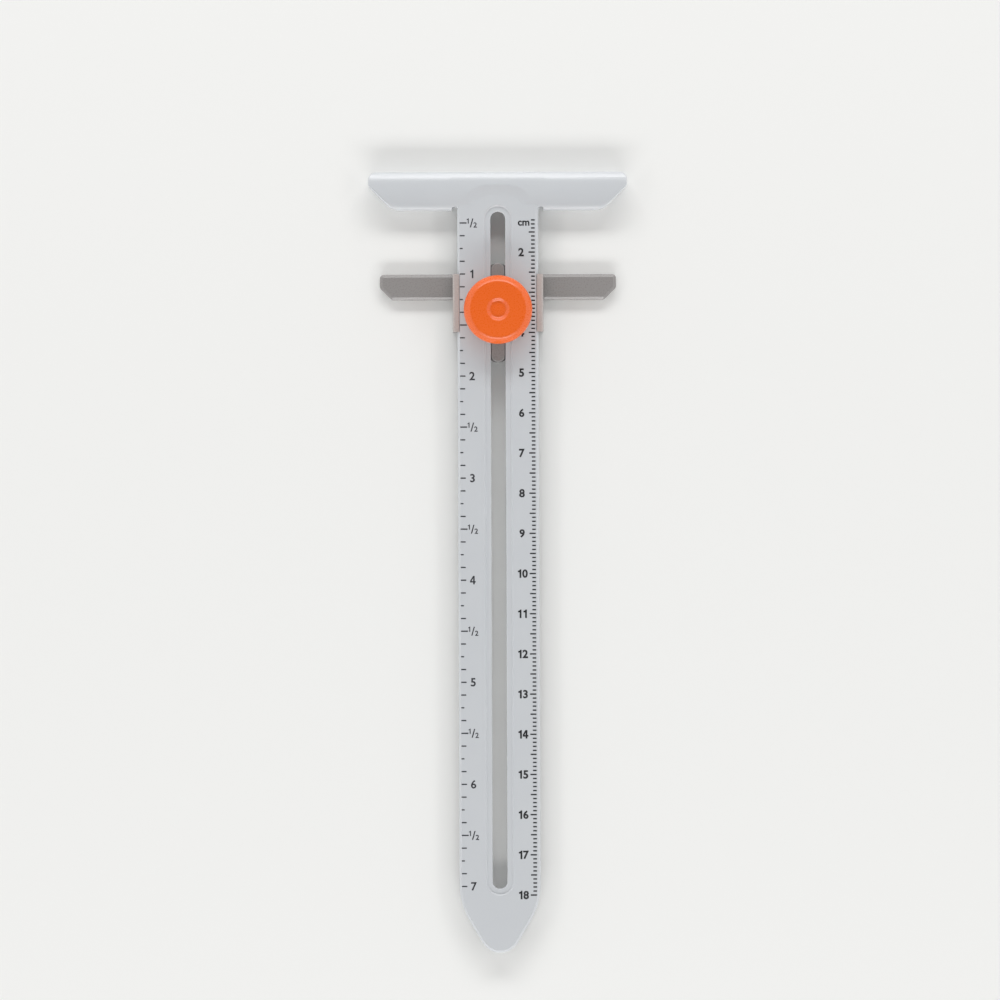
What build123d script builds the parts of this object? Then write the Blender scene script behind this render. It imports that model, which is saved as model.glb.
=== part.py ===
from build123d import *
import math
import os

# Sewing gauge: a T headed ruler with a sliding marker bar, locked by a wedge until its button is pressed.
# Millimetres. +Y runs along the ruler towards its head, +X across it, +Z out of the printed face.
# The origin is under the middle of the ruler, on the plane that its back rests on.

# Ruler. Distances down the ruler are measured from the datum edge, the outer edge of its head.
overall_length = 194.4
datum_y = overall_length / 2
head_width = 64.4
head_height = 9.45
head_end_height = 3.45
head_corner_radius = 1.8
head_chamfer_radius = 1.0
head_underside_radius = 5.5
head_rim_z = 3.4
head_crown_z = 5.0
head_edge_softening = 0.35
blade_width = 20.2
blade_back_z = 1.75
blade_front_z = 4.15
blade_bevel = 0.55
taper_angle = 30.5
tip_radius = 5.05
shoulder_radius = 18.0
slot_width = 3.66
slot_start = 9.9
slot_end = 178.5
recess_margin = 1.67
recess_depth = 0.45
recess_wall_angle = 35.0
slot_seat = 1.0
neck_top = 7.0
neck_half_width = 6.0
neck_corner_radius = 4.0
neck_ramp_radius = 8.5
neck_crest_softening = 1.5
notch_width = 1.3
notch_height = 0.9

# Moulded pockets in the back of the head
wall = 1.6
rib = 1.4
pocket_depth = 3.0
pocket_corner_radius = 0.6
rib_places = (0.0, 9.4, 19.8)

# Marker bar. Its upper edge reads one inch at rest, and its back plate slides behind the blade.
reading = 25.4
button_from_datum = 34.4
bar_width = 58.9
bar_height = 6.35
bar_thickness = 2.1
bar_chamfer = 3.0
bar_corner_radius = 1.0
bar_cut_radius = 0.9
bar_softening = 0.7
plate_thickness = 1.6
rail_width = 22.6
rail_length = 14.4
rail_top_z = 4.4
rail_rounding = 0.5
slide_gap = 0.12
lip_reach = 0.55

# Guide key: two lengths that run in the slot, above and below the button's stem
key_gap = 0.13
key_top = 22.65
key_bottom = 47.3
key_front_z = 3.6
key_half_space = 4.6
tongue_width = 6.4
pad_length = 2.8
peg_diameter = 1.6
peg_offset = 6.15
peg_bottom_z = 1.9
peg_hole_floor_z = 1.0

# Spring cup on the front of the blade
cup_diameter = 14.4
cup_back_z = 4.25
cup_floor_z = 5.0
cup_rim_z = 6.3
cup_rim_thickness = 0.9

# Stem, wedge and the screw that joins them
stem_width = 3.2
stem_length = 7.0
stem_clearance = 0.2
wedge_back_z = 1.35
wedge_front_z = 2.5
wedge_length = 8.4
wedge_gap = 0.07
wedge_side = 2.9
window_gap = 0.2
screw_diameter = 1.8
screw_head_diameter = 3.4
screw_tip_z = 6.6
screw_hole_end_z = 7.0
cross_slot = (0.45, 2.0, 0.55)

# Push button
cap_diameter = 17.0
cap_face_diameter = 13.4
cap_skirt_z = 5.6
cap_shoulder_z = 7.5
cap_face_z = 9.7
cap_dish_depth = 0.35
cap_ceiling_z = 8.4
cap_bore_gap = 0.15
dimple_floor_diameter = 4.3
dimple_rim_diameter = 5.6
dimple_depth = 0.75

# Lock spring, an open coil round the stem
spring_wire = 0.6
spring_wire_sides = 6
spring_mean_diameter = 8.6
spring_turns = 2.5
spring_end_gap = 0.02


def from_datum(distance):
    """Height on the Y axis of a point this far below the datum edge."""
    return datum_y - distance


button_y = from_datum(button_from_datum)
head_foot_y = from_datum(head_height)
blade_half = blade_width / 2
slot_half = slot_width / 2


def long_hole(width, y_low, y_high):
    """A round-ended slot face on the ruler's centre line, between two heights."""
    length = y_high - y_low
    return Pos(0, (y_low + y_high) / 2) * SlotOverall(length, width, rotation=90)


def plate_from(face, z_low, z_high):
    """A flat plate of this outline between two levels."""
    return Pos(0, 0, z_low) * extrude(face, z_high - z_low)


def head_outline():
    """The T head seen from the front: square at the datum edge, cut at 45 degrees below."""
    half = head_width / 2
    side_foot_y = from_datum(head_end_height)
    cut = head_height - head_end_height
    corners = [
        (-half, datum_y),
        (half, datum_y),
        (half, side_foot_y),
        (half - cut, head_foot_y),
        (cut - half, head_foot_y),
        (-half, side_foot_y),
    ]
    radii = [
        head_corner_radius,
        head_corner_radius,
        head_chamfer_radius,
        head_underside_radius,
        head_underside_radius,
        head_chamfer_radius,
    ]
    return make_face(FilletPolyline(*corners, radius=radii, close=True))


def crowned_head():
    """The head with its front face crowned along its whole width."""
    middle_y = datum_y - head_height / 2
    section = make_face(
        [
            Polyline(
                (head_foot_y, head_rim_z),
                (head_foot_y, 0),
                (datum_y, 0),
                (datum_y, head_rim_z),
            ),
            ThreePointArc(
                (datum_y, head_rim_z),
                (middle_y, head_crown_z),
                (head_foot_y, head_rim_z),
            ),
        ]
    )
    bar = extrude(Plane.YZ * section, head_width / 2, both=True)
    head = bar & plate_from(head_outline(), 0, head_crown_z)
    rim = [
        edge
        for edge in head.edges()
        if edge.bounding_box().min.Z > head_rim_z - head_edge_softening
    ]
    return fillet(rim, head_edge_softening)


def head_pockets():
    """Moulded pockets in the back of the head, parted by ribs."""
    inside = offset(head_outline(), -wall, kind=Kind.INTERSECTION)
    pocket_middle_y = datum_y - head_height / 2
    for place in sorted({side * x for x in rib_places for side in (-1, 1)}):
        inside -= Pos(place, pocket_middle_y) * Rectangle(rib, head_height)
    pockets = plate_from(inside, 0, pocket_depth)
    return fillet(pockets.edges().filter_by(Axis.Z), pocket_corner_radius)


def neck_ramp():
    """What runs the flat of the blade up into the crown: a block with a large bottom radius."""
    half = neck_half_width + neck_ramp_radius
    high_y = from_datum(neck_top) + neck_ramp_radius
    low_y = head_foot_y - neck_ramp_radius
    corners = [(-half, low_y), (-half, high_y), (half, high_y), (half, low_y)]
    corner_radius = neck_corner_radius + neck_ramp_radius
    radii = [0, corner_radius, corner_radius, 0]
    outline = make_face(FilletPolyline(*corners, radius=radii, close=True))
    block = plate_from(outline, blade_front_z, blade_front_z + 2 * neck_ramp_radius)
    all_but_low_end = block.faces().sort_by(Axis.Z)[0].edges().sort_by(Axis.Y)[1:]
    return fillet(all_but_low_end, neck_ramp_radius)


def necked_head():
    """The crowned head with the ramp cut in its middle and the ramp's crest softened."""
    head = crowned_head() - neck_ramp()
    side = neck_half_width + neck_corner_radius
    crest = [
        edge
        for edge in head.edges().filter_by(GeomType.CIRCLE, reverse=True)
        if abs(edge.center().X) < side
        and edge.bounding_box().max.Z > blade_front_z + head_edge_softening
    ]
    return fillet(crest, neck_crest_softening)


def blade_outline():
    """The blade from inside the head to its rounded point."""
    half_taper = math.radians(taper_angle)
    point_y = from_datum(overall_length) + tip_radius - tip_radius / math.sin(half_taper)
    shoulder_y = point_y + blade_half / math.tan(half_taper)
    root_y = from_datum(neck_top)
    corners = [
        (-blade_half, root_y),
        (-blade_half, shoulder_y),
        (0, point_y),
        (blade_half, shoulder_y),
        (blade_half, root_y),
    ]
    radii = [0, shoulder_radius, tip_radius, shoulder_radius, 0]
    return make_face(FilletPolyline(*corners, radius=radii, close=True))


def blade():
    """The slotted blade, bevelled round its front edge and round the back of its slot."""
    body = plate_from(blade_outline(), blade_back_z, blade_front_z)
    front = body.faces().sort_by(Axis.Z)[-1]
    root = front.edges().sort_by(Axis.Y)[-1]
    body = chamfer([edge for edge in front.edges() if edge != root], blade_bevel)
    slot = long_hole(slot_width, from_datum(slot_end), from_datum(slot_start))
    body -= plate_from(slot, blade_back_z, blade_front_z)
    back = body.faces().sort_by(Axis.Z)[0]
    return chamfer(back.inner_wires()[0].edges(), slot_seat)


def slot_recess():
    """The shallow sunk margin round the front of the slot."""
    low = from_datum(slot_end + recess_margin)
    high = from_datum(slot_start - recess_margin)
    floor = long_hole(slot_width + 2 * recess_margin, low, high)
    floor_z = blade_front_z - recess_depth
    spread = recess_depth * math.tan(math.radians(recess_wall_angle))
    floor = offset(floor, -spread)
    return Pos(0, 0, floor_z) * extrude(floor, recess_depth, taper=-recess_wall_angle)


def corner_notches():
    """Round-topped reliefs where the arms of the head meet the blade's edges."""
    notches = Part()
    for side in (-1, 1):
        x = side * (blade_half + notch_width / 2)
        face = Pos(x, 0) * long_hole(
            notch_width, head_foot_y - notch_width, head_foot_y + notch_height
        )
        notches += plate_from(face, 0, head_crown_z)
    return notches


def ruler_body():
    """The white moulding: head, blade, slot and recesses."""
    body = necked_head() + blade()
    body -= slot_recess()
    body -= corner_notches()
    return body - head_pockets()


def bar_wings():
    """The two arms of the marker bar in one bar, softened on their front edges."""
    half = bar_width / 2
    upper_y = from_datum(reading)
    lower_y = upper_y - bar_height
    corners = [
        (-half, upper_y),
        (half, upper_y),
        (half, lower_y + bar_chamfer),
        (half - bar_chamfer, lower_y),
        (bar_chamfer - half, lower_y),
        (-half, lower_y + bar_chamfer),
    ]
    blunt = bar_cut_radius
    radii = [bar_corner_radius, bar_corner_radius, blunt, blunt, blunt, blunt]
    outline = make_face(FilletPolyline(*corners, radius=radii, close=True))
    wings = plate_from(outline, 0, bar_thickness)
    return fillet(wings.faces().sort_by(Axis.Z)[-1].edges(), bar_softening)


def rail_section():
    """One rail across the blade's right edge, hooked over the bevel, seen along the ruler."""
    outer = rail_width / 2
    inner = blade_half + slide_gap
    bevel_foot_z = blade_front_z - blade_bevel
    hook_z = bevel_foot_z + slide_gap * (math.sqrt(2) - 1)
    lip_z = hook_z + lip_reach
    corners = [
        (inner, 0),
        (outer, 0),
        (outer, rail_top_z),
        (inner - lip_reach, rail_top_z),
        (inner - lip_reach, lip_z),
        (inner, hook_z),
    ]
    radii = [0, 0, rail_rounding, 0, 0, 0]
    return make_face(FilletPolyline(*corners, radius=radii, close=True))


def rails():
    """Both rails, each as long as the back plate."""
    upper_y = from_datum(reading)
    right = Pos(0, upper_y) * extrude(Plane.XZ * rail_section(), rail_length)
    return right + mirror(right, Plane.YZ)


def back_plate():
    """The plate behind the blade, with tongues that reach up and down under the guide key."""
    upper_y = from_datum(reading)
    middle_y = upper_y - rail_length / 2
    face = Pos(0, middle_y) * Rectangle(rail_width, rail_length)
    face += long_hole(tongue_width, from_datum(key_bottom), from_datum(key_top))
    return plate_from(face, 0, plate_thickness)


def guide_key():
    """The key in the slot, in two lengths, each with a pad and a blind hole for the cup's peg."""
    key_width = slot_width - 2 * key_gap
    whole = long_hole(key_width, from_datum(key_bottom), from_datum(key_top))
    space = Pos(0, button_y) * Rectangle(slot_width, 2 * key_half_space)
    key = plate_from(whole - space, plate_thickness, key_front_z)
    for side in (-1, 1):
        at_peg = Pos(0, button_y + side * peg_offset)
        pad = Rectangle(key_width, pad_length)
        key += at_peg * plate_from(pad, key_front_z, cup_back_z)
        key -= at_peg * plate_from(Circle(peg_diameter / 2), peg_hole_floor_z, cup_back_z)
    return key


def marker_bar():
    """The grey moulding that slides: wings, back plate, rails and guide key."""
    channel_half = blade_half + slide_gap
    upper_y = from_datum(reading)
    channel = Pos(0, upper_y - rail_length / 2) * Rectangle(
        2 * channel_half, rail_length
    )
    body = bar_wings() - plate_from(channel, plate_thickness, bar_thickness)
    body = body + back_plate() + rails() + guide_key()
    window_width = 2 * (wedge_side + window_gap)
    window = Pos(0, button_y) * Rectangle(window_width, 2 * key_half_space)
    body -= plate_from(window, 0, plate_thickness)
    for side in (-1, 1):
        at_peg = Pos(0, button_y + side * peg_offset)
        body -= at_peg * plate_from(
            Circle(peg_diameter / 2), peg_hole_floor_z, plate_thickness
        )
    return body


def stem_hole(clearance):
    """The oblong that the stem fills, or runs in with this clearance all round."""
    return SlotOverall(
        stem_length + 2 * clearance, stem_width + 2 * clearance, rotation=90
    )


def spring_cup():
    """The cup that carries the coil on the front of the blade, pegged into the guide key."""
    cup = plate_from(Circle(cup_diameter / 2), cup_back_z, cup_rim_z)
    well = Circle(cup_diameter / 2 - cup_rim_thickness)
    cup -= plate_from(well, cup_floor_z, cup_rim_z)
    cup -= plate_from(stem_hole(stem_clearance), cup_back_z, cup_floor_z)
    for side in (-1, 1):
        peg = plate_from(Circle(peg_diameter / 2), peg_bottom_z, cup_back_z)
        cup += Pos(0, side * peg_offset) * peg
    return Pos(0, button_y) * cup


def cap_profile():
    """Half section of the button cap, radius against height."""
    outer = cap_diameter / 2
    face_r = cap_face_diameter / 2
    rim_r = dimple_rim_diameter / 2
    floor_r = dimple_floor_diameter / 2
    bore_r = cup_diameter / 2 + cap_bore_gap
    dish_z = cap_face_z - cap_dish_depth
    dimple_z = dish_z - dimple_depth
    shoulder_bow = Vector(
        face_r + (outer - face_r) * math.sqrt(0.5),
        cap_shoulder_z + (cap_face_z - cap_shoulder_z) * math.sqrt(0.5),
    )
    return make_face(
        [
            Polyline(
                (0, dimple_z),
                (0, cap_ceiling_z),
                (bore_r, cap_ceiling_z),
                (bore_r, cap_skirt_z),
                (outer, cap_skirt_z),
                (outer, cap_shoulder_z),
            ),
            ThreePointArc(
                (outer, cap_shoulder_z), shoulder_bow, (face_r, cap_face_z)
            ),
            Polyline(
                (face_r, cap_face_z),
                (rim_r, dish_z),
                (floor_r, dimple_z),
                (0, dimple_z),
            ),
        ]
    )


def release_button():
    """The orange cap with its stem, bored for the screw."""
    cap = revolve(Plane.XZ * cap_profile(), Axis.Z)
    stem = plate_from(stem_hole(0), wedge_front_z, cap_ceiling_z)
    bore = plate_from(Circle(screw_diameter / 2), wedge_front_z, screw_hole_end_z)
    return Pos(0, button_y) * (cap + stem - bore)


def screw_head_depth():
    """Depth of the 90 degree countersunk head."""
    return (screw_head_diameter - screw_diameter) / 2


def lock_wedge():
    """The bar behind the blade whose 45 degree flanks bear on the back edges of the slot."""
    seat_z = blade_back_z
    flank_half = slot_half + slot_seat - wedge_gap
    side_z = seat_z - (wedge_side - flank_half)
    top_half = flank_half - (wedge_front_z - seat_z)
    section = make_face(
        Polyline(
            (-wedge_side, wedge_back_z),
            (wedge_side, wedge_back_z),
            (wedge_side, side_z),
            (top_half, wedge_front_z),
            (-top_half, wedge_front_z),
            (-wedge_side, side_z),
            close=True,
        )
    )
    wedge = extrude(Plane.XZ * section, wedge_length / 2, both=True)
    wedge -= plate_from(Circle(screw_diameter / 2), wedge_back_z, wedge_front_z)
    sink = Cone(
        screw_head_diameter / 2,
        screw_diameter / 2,
        screw_head_depth(),
        align=(Align.CENTER, Align.CENTER, Align.MIN),
    )
    return Pos(0, button_y) * (wedge - Pos(0, 0, wedge_back_z) * sink)


def clamp_screw():
    """The small countersunk screw that draws the wedge onto the stem."""
    depth = screw_head_depth()
    profile = make_face(
        Polyline(
            (0, wedge_back_z),
            (screw_head_diameter / 2, wedge_back_z),
            (screw_diameter / 2, wedge_back_z + depth),
            (screw_diameter / 2, screw_tip_z - depth),
            (0, screw_tip_z),
            close=True,
        )
    )
    screw = revolve(Plane.XZ * profile, Axis.Z)
    width, length, slot_depth = cross_slot
    for turn in (0, 90):
        bar = Rot(0, 0, turn) * Rectangle(length, width)
        screw -= plate_from(bar, wedge_back_z, wedge_back_z + slot_depth)
    return Pos(0, button_y) * screw


def biarc(start, start_way, end, end_way):
    """Two tangent arcs from start to end that leave and arrive along the given directions."""
    chord = end - start
    both_ways = start_way + end_way
    a = 2 * (start_way.dot(end_way) - 1)
    b = -2 * chord.dot(both_ways)
    c = chord.dot(chord)
    reach = (-b - math.sqrt(b * b - 4 * a * c)) / (2 * a)
    joint = (start + end + (start_way - end_way) * reach) * 0.5
    join_way = (joint - start - start_way * reach).normalized()
    return [
        Edge.make_tangent_arc(start, start_way, joint),
        Edge.make_tangent_arc(joint, join_way, end),
    ]


def helix_point(turn, radius, rise, foot_z):
    """A point on the coil after this many turns."""
    angle = 2 * math.pi * turn
    return Vector(
        radius * math.cos(angle), radius * math.sin(angle), foot_z + rise * turn
    )


def helix_way(turn, radius, rise):
    """The direction of the wire after this many turns."""
    angle = 2 * math.pi * turn
    run = 2 * math.pi * radius
    return Vector(-run * math.sin(angle), run * math.cos(angle), rise).normalized()


def lock_spring():
    """The coil that lifts the cap and so pulls the wedge home."""
    radius = spring_mean_diameter / 2
    foot_z = cup_floor_z + spring_wire / 2 + spring_end_gap
    head_z = cap_ceiling_z - spring_wire / 2 - spring_end_gap
    rise = (head_z - foot_z) / spring_turns
    halves = round(2 * spring_turns)
    edges = []
    for half in range(halves):
        here, there = half / 2, (half + 1) / 2
        edges += biarc(
            helix_point(here, radius, rise, foot_z),
            helix_way(here, radius, rise),
            helix_point(there, radius, rise, foot_z),
            helix_way(there, radius, rise),
        )
    path = Wire(edges)
    section = RegularPolygon(spring_wire / 2, spring_wire_sides)
    wire_face = Plane(path @ 0, z_dir=path % 0) * section
    print(f"lock_spring: least gap between turns {rise - spring_wire:.2f} mm")
    return Pos(0, button_y) * sweep(wire_face, path)


def main():
    """Writes each piece to its own file."""
    os.makedirs("parts", exist_ok=True)
    pieces = {
        "ruler_body": ruler_body(),
        "marker_bar": marker_bar(),
        "spring_cup": spring_cup(),
        "lock_spring": lock_spring(),
        "release_button": release_button(),
        "lock_wedge": lock_wedge(),
        "clamp_screw": clamp_screw(),
    }
    for name, piece in pieces.items():
        export_step(piece, f"parts/{name}.step")


main()
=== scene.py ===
"""A sewing gauge on a plain studio floor: its mouldings, push-button lock and printed scales.

Pieces are modelled in millimetres, in the CAD model's frame: +Y runs along the ruler towards its
head, +X across it and +Z out of the printed face. Each is brought to metres when it is finished.
"""

import logging
import math
from collections.abc import Callable, Iterable, Iterator
from contextlib import contextmanager
from dataclasses import dataclass, field
from enum import Enum
from itertools import pairwise

import bmesh
import bpy
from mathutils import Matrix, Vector


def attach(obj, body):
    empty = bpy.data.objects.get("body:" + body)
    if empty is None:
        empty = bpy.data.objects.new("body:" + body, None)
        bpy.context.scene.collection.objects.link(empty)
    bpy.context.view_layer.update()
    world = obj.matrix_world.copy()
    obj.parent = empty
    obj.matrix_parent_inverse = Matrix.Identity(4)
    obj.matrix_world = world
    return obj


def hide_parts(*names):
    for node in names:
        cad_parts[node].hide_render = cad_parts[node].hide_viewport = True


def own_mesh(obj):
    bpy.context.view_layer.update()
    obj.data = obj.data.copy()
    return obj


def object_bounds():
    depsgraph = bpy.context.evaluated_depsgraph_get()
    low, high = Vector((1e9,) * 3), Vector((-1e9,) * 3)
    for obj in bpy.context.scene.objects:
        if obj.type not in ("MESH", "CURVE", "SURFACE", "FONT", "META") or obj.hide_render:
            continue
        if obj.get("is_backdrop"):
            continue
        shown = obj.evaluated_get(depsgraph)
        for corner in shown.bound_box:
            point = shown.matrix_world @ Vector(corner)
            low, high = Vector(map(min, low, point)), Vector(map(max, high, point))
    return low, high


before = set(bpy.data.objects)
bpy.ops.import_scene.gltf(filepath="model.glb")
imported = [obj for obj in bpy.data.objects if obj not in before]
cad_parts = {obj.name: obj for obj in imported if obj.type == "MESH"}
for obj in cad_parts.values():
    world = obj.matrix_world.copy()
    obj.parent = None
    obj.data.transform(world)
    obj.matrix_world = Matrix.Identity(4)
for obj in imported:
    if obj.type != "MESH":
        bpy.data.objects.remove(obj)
cad_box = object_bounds()

log = logging.getLogger("sewing_gauge")

MM = 0.001
# How near a corner or an edge lies, in millimetres, to the place or level that picks it
NEAR = 0.01
# Rings of a turned profile that are nearer than this are one ring
SAME_RING = 1e-6
# Degrees that an edge turns by before it counts as sharp and is softened
SHARP_EDGE = 32
# How far a cutter reaches past what it cuts
PAST = 1.0

Point = tuple[float, float]
Place = tuple[float, float, float]
Value = float | tuple[float, ...] | bpy.types.NodeSocket


class Combine(Enum):
    """How one solid is combined with another."""

    JOIN = "UNION"
    CUT = "DIFFERENCE"


class Section(Enum):
    """The plane that an outline is drawn in, as a turn of the flat one about X."""

    FLAT = 0.0
    ACROSS = math.pi / 2


class Body(Enum):
    """The bodies of the CAD model that pieces ride on."""

    RULER = "ruler"
    SLIDE = "slide"
    BUTTON = "button"


def linear(colour: str) -> tuple[float, float, float, float]:
    """Turns an sRGB hex colour to the linear one that shaders and lamps take.

    Args:
        colour: the colour as "#RRGGBB".

    Returns:
        Red, green and blue in linear light, with an alpha of 1.
    """
    parts = [int(colour[i : i + 2], 16) / 255 for i in (1, 3, 5)]
    red, green, blue = (
        c / 12.92 if c <= 0.04045 else ((c + 0.055) / 1.055) ** 2.4 for c in parts
    )
    return red, green, blue, 1.0


def add_node(
    tree: bpy.types.NodeTree,
    kind: str,
    inputs: dict[str | int, Value] | None = None,
    **settings: object,
) -> bpy.types.Node:
    """Adds one node with its settings, and fills or links its inputs.

    Args:
        tree: the node tree that gets the node.
        kind: the node's type, such as "ShaderNodeBump".
        inputs: a value or a socket to link for each input, by name or number.
        **settings: the node's own properties.

    Returns:
        The new node.
    """
    node = tree.nodes.new(kind)
    for name, setting in settings.items():
        setattr(node, name, setting)
    for name, value in (inputs or {}).items():
        if isinstance(value, bpy.types.NodeSocket):
            tree.links.new(value, node.inputs[name])
        else:
            node.inputs[name].default_value = value
    return node


def activate(piece: bpy.types.Object) -> None:
    """Selects this piece and nothing else."""
    bpy.ops.object.select_all(action="DESELECT")
    piece.select_set(True)
    bpy.context.view_layer.objects.active = piece


@contextmanager
def editing(piece: bpy.types.Object) -> Iterator[None]:
    """Opens a piece in edit mode with nothing selected, and closes it again.

    Args:
        piece: the mesh object to edit.

    Yields:
        Nothing: the piece is in edit mode meanwhile.
    """
    activate(piece)
    bpy.ops.object.mode_set(mode="EDIT")
    bpy.ops.mesh.select_mode(type="VERT")
    bpy.ops.mesh.select_all(action="DESELECT")
    try:
        yield
    finally:
        bpy.ops.object.mode_set(mode="OBJECT")


def pick_corners(piece: bpy.types.Object, test: Callable[[Vector], bool]) -> None:
    """Selects the corners of the piece in edit mode that pass a test.

    Args:
        piece: the mesh object being edited.
        test: says from a corner's place whether it is picked.
    """
    bpy.ops.mesh.select_mode(type="VERT")
    bpy.ops.mesh.select_all(action="DESELECT")
    mesh = bmesh.from_edit_mesh(piece.data)
    for corner in mesh.verts:
        if test(corner.co):
            corner.select_set(True)
    mesh.select_flush(True)
    bmesh.update_edit_mesh(piece.data)


def half_angle_at(piece: bpy.types.Object, place: Vector) -> float:
    """Half the angle between the two edges that meet at a corner of a flat outline.

    Args:
        piece: the outline, in edit mode.
        place: the corner's place.

    Returns:
        The half angle in radians.
    """
    mesh = bmesh.from_edit_mesh(piece.data)
    corner = min(mesh.verts, key=lambda vert: (vert.co - place).length)
    ways = [edge.other_vert(corner).co - corner.co for edge in corner.link_edges]
    return ways[0].angle(ways[1]) / 2


def pick_edges(piece: bpy.types.Object, test: Callable[[Vector], bool]) -> None:
    """Selects the edges of the piece in edit mode that pass a test.

    Args:
        piece: the mesh object being edited.
        test: says from an edge's middle whether it is picked.
    """
    bpy.ops.mesh.select_mode(type="EDGE")
    bpy.ops.mesh.select_all(action="DESELECT")
    mesh = bmesh.from_edit_mesh(piece.data)
    for edge in mesh.edges:
        if test((edge.verts[0].co + edge.verts[1].co) / 2):
            edge.select_set(True)
    bmesh.update_edit_mesh(piece.data)


def pick_faces(
    piece: bpy.types.Object, test: Callable[[Vector, Vector], bool]
) -> None:
    """Selects the faces of the piece in edit mode that pass a test.

    Args:
        piece: the mesh object being edited.
        test: says from a face's middle and its normal whether it is picked.
    """
    bpy.ops.mesh.select_mode(type="FACE")
    bpy.ops.mesh.select_all(action="DESELECT")
    mesh = bmesh.from_edit_mesh(piece.data)
    for face in mesh.faces:
        if test(face.calc_center_median(), face.normal):
            face.select_set(True)
    bmesh.update_edit_mesh(piece.data)


def face_outwards() -> None:
    """Points every face of the piece in edit mode outwards."""
    bpy.ops.mesh.select_all(action="SELECT")
    bpy.ops.mesh.normals_make_consistent(inside=False)


def outline(
    name: str, corners: Iterable[Point], section: Section = Section.FLAT
) -> bpy.types.Object:
    """Draws a flat many-sided face from a disc with one rim point for each corner.

    Args:
        name: the name of the new object.
        corners: the corners in order, as X and Y, or X and Z for a section across the ruler.
        section: the plane that the outline lies in.

    Returns:
        The face, with its place in its mesh.
    """
    places = list(corners)
    bpy.ops.mesh.primitive_circle_add(
        vertices=len(places), radius=1.0, fill_type="NGON", location=(0, 0, 0)
    )
    piece = bpy.context.object
    piece.name = name
    for corner, (across, along) in zip(piece.data.vertices, places):
        corner.co = (across, along, 0.0)
    piece.rotation_euler.x = section.value
    bpy.ops.object.transform_apply(location=True, rotation=True, scale=True)
    return piece


def round_corner(
    piece: bpy.types.Object, at: Point, radius: float, segments: int = 8
) -> None:
    """Rounds one corner of a flat outline, close to a true arc whatever the corner's angle.

    Args:
        piece: the outline, lying flat.
        at: the corner's X and Y.
        radius: the arc's radius in millimetres.
        segments: how many straight runs draw the arc.
    """
    with editing(piece):
        place = Vector((*at, 0.0))
        half_angle = half_angle_at(piece, place)
        sine = math.sin(half_angle)
        pick_corners(piece, lambda co: (co - place).length < NEAR)
        # This profile puts the middle of the bevel's curve on the true arc
        bpy.ops.mesh.bevel(
            affect="VERTICES",
            offset=radius / math.tan(half_angle),
            segments=segments,
            profile=((1 + 2 * sine) / (2 + 2 * sine)) ** 2,
        )


def raise_solid(
    piece: bpy.types.Object, foot: Place, rise: Place, turn_faces: bool = True
) -> bpy.types.Object:
    """Pulls a flat face out to a solid, and puts its foot in place.

    Args:
        piece: the flat face.
        foot: how far the face is moved first.
        rise: the way and the distance that it is pulled.
        turn_faces: whether the faces are then turned outwards.

    Returns:
        The same piece, now a closed solid.
    """
    with editing(piece):
        bpy.ops.mesh.select_all(action="SELECT")
        bpy.ops.transform.translate(value=foot)
        bpy.ops.mesh.extrude_region_move(TRANSFORM_OT_translate={"value": rise})
        if turn_faces:
            face_outwards()
    return piece


def plate(
    name: str, corners: Iterable[Point], z_low: float, z_high: float
) -> bpy.types.Object:
    """Makes a flat plate with straight sides between two levels.

    Args:
        name: the name of the new object.
        corners: the outline's corners in order.
        z_low: the level of its back.
        z_high: the level of its front.

    Returns:
        The plate.
    """
    return raise_solid(
        outline(name, corners), (0, 0, z_low), (0, 0, z_high - z_low)
    )


def box_corners(x_low: float, x_high: float, y_low: float, y_high: float) -> list[Point]:
    """The four corners of an upright rectangle."""
    return [(x_low, y_low), (x_high, y_low), (x_high, y_high), (x_low, y_high)]


def arc(
    centre: Point, wide: float, tall: float, start: float, end: float, steps: int
) -> list[Point]:
    """Points along an elliptical arc.

    Args:
        centre: the ellipse's middle.
        wide: its half width.
        tall: its half height.
        start: the first angle in degrees, from the +X side.
        end: the last angle in degrees.
        steps: how many runs the arc has.

    Returns:
        One point more than it has runs.
    """
    angles = [math.radians(start + (end - start) * i / steps) for i in range(steps + 1)]
    return [(centre[0] + wide * math.cos(a), centre[1] + tall * math.sin(a)) for a in angles]


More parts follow.
